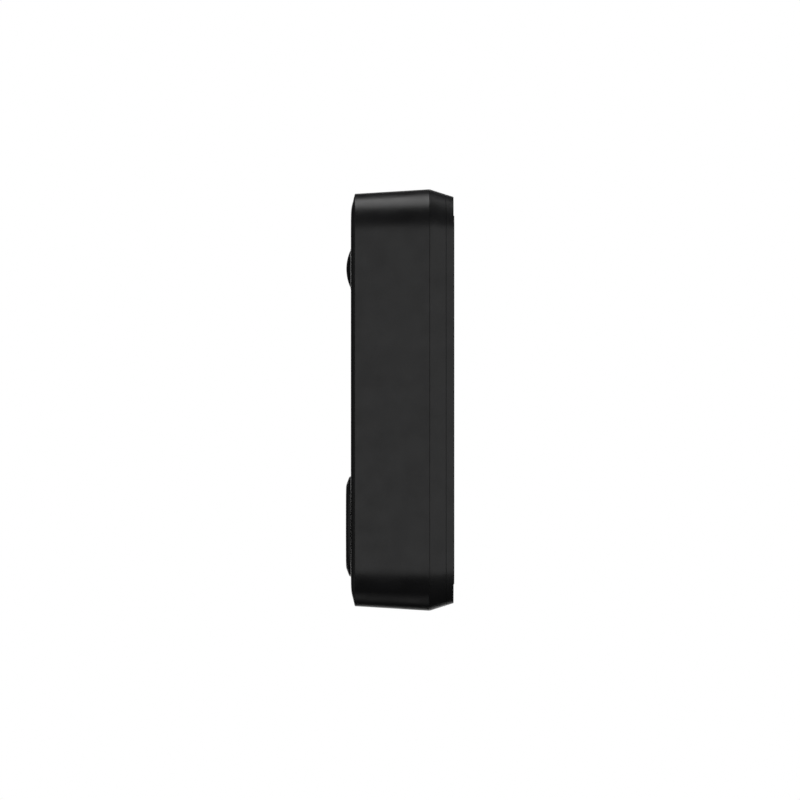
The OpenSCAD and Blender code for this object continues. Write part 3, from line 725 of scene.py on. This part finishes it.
def make_light_ring():
    low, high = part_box("light_ring")
    front = -low.y / MM
    back = -high.y / MM
    flange_r = (high.x - low.x) / 2 / MM
    profile = [
        (RING_INNER, front, 0.2), (RING_OUTER, front, 0.2), (RING_OUTER, FLANGE_TOP, 0.05),
        (flange_r, FLANGE_TOP, 0.1), (flange_r, FLOOR_DEPTH, 0.1), (PIPE_OUTER, FLOOR_DEPTH, 0),
        (PIPE_OUTER, back, 0.1), (PIPE_INNER, back, 0.1), (PIPE_INNER, FLOOR_DEPTH, 0),
        (RING_INNER, FLOOR_DEPTH, 0.1),
    ]
    at = BUTTON_AT
    return turned("light_ring_diffuser", "unit", "light_ring", "light_diffuser", at, profile)


# ---- stage, light and camera ----

# The camera looks along -X at the body's side, from far away so that nothing converges
VIEW_WIDTH = 0.1582
SENSOR = 36.0
LENS = 500.0
CAMERA_AT = VIEW_WIDTH / SENSOR * LENS
FLOOR_Z = -0.35
FLOOR_R = 4.0
FLOOR_GLOW = 0.94

# Strength of the white room as the object reflects it, and as the camera sees it
ROOM_REFLECTED = 0.015
ROOM_SEEN = 1.0

# Softboxes: direction from the body in degrees (turn about Z from +X, height), distance, size, radiance
SOFTBOXES = {
    "overhead": (180, 83, 1.0, (0.6, 0.62), 2.35),
    "camera_side": (14, 0, 1.2, (1.9, 1.15), 0.74),
    "below": (-130, -76, 1.0, (0.5, 0.42), 0.34),
    "background": (166, -4, 1.3, (1.2, 1.3), 0.8),
    "front": (-90, -4, 1.0, (1.6, 1.45), 0.24),
    "back": (92, -5, 1.0, (1.4, 1.4), 0.4),
}


def make_softbox(name, turn, height, distance, size, radiance):
    lamp = bpy.data.lights.new(name, "AREA")
    lamp.shape = "RECTANGLE"
    lamp.size, lamp.size_y = size
    lamp.energy = radiance * math.pi * size[0] * size[1]
    light = bpy.data.objects.new(name, lamp)
    a, e = math.radians(turn), math.radians(height)
    towards = Vector((math.cos(a) * math.cos(e), math.sin(a) * math.cos(e), math.sin(e)))
    light.location = towards * distance
    light.rotation_mode = "QUATERNION"
    light.rotation_quaternion = towards.to_track_quat("Z", "Y")
    light.visible_camera = False
    bpy.context.scene.collection.objects.link(light)


def make_world():
    """White where the camera sees it, dim where the object reflects it."""
    world = bpy.data.worlds.new("studio")
    bpy.context.scene.world = world
    world.use_nodes = True
    tree = world.node_tree
    room = tree.nodes["Background"]
    room.inputs["Color"].default_value = (1, 1, 1, 1)
    room.inputs["Strength"].default_value = ROOM_REFLECTED
    seen = tree.nodes.new("ShaderNodeBackground")
    seen.inputs["Color"].default_value = (1, 1, 1, 1)
    seen.inputs["Strength"].default_value = ROOM_SEEN
    path = tree.nodes.new("ShaderNodeLightPath")
    mix = tree.nodes.new("ShaderNodeMixShader")
    tree.links.new(path.outputs["Is Camera Ray"], mix.inputs["Fac"])
    tree.links.new(room.outputs["Background"], mix.inputs[1])
    tree.links.new(seen.outputs["Background"], mix.inputs[2])
    tree.links.new(mix.outputs["Shader"], tree.nodes["World Output"].inputs["Surface"])


def make_floor():
    """A pale floor well below the body, which neither lights it nor shows in it."""
    at = (0, 0, FLOOR_Z)
    bpy.ops.mesh.primitive_circle_add(vertices=96, radius=FLOOR_R, fill_type="NGON", location=at)
    floor = bpy.context.object
    floor.name = "floor"
    glow = dict(Emission_Color=(1, 1, 1, 1), Emission_Strength=FLOOR_GLOW)
    s = Shader("floor_pale", Roughness=1.0, Specular_IOR_Level=0.0, **glow)
    s.finish(s.blend(s.spread(s.noise(40), 0, 1), (0.03, 0.03, 0.03), (0.05, 0.05, 0.05)))
    floor.data.materials.append(s.material)
    floor.visible_glossy = False
    floor.visible_diffuse = False


def make_camera():
    data = bpy.data.cameras.new("camera")
    data.sensor_width = SENSOR
    data.lens = LENS
    data.clip_end = 20
    camera = bpy.data.objects.new("camera", data)
    low, high = CAD_BOX
    aim = (low + high) / 2
    camera.location = (CAMERA_AT, aim.y, aim.z)
    camera.rotation_euler = (math.pi / 2, 0, math.pi / 2)
    bpy.context.scene.collection.objects.link(camera)
    bpy.context.scene.camera = camera


bpy.context.scene.view_settings.view_transform = "Standard"
MATERIALS = make_materials()
make_camera()
make_world()
make_floor()
for softbox, settings in SOFTBOXES.items():
    make_softbox(softbox, *settings)
dress_cad_nodes()
make_housing()
make_front_panel()
make_button()
make_lens_window()
make_lens_trim()
make_light_ring()
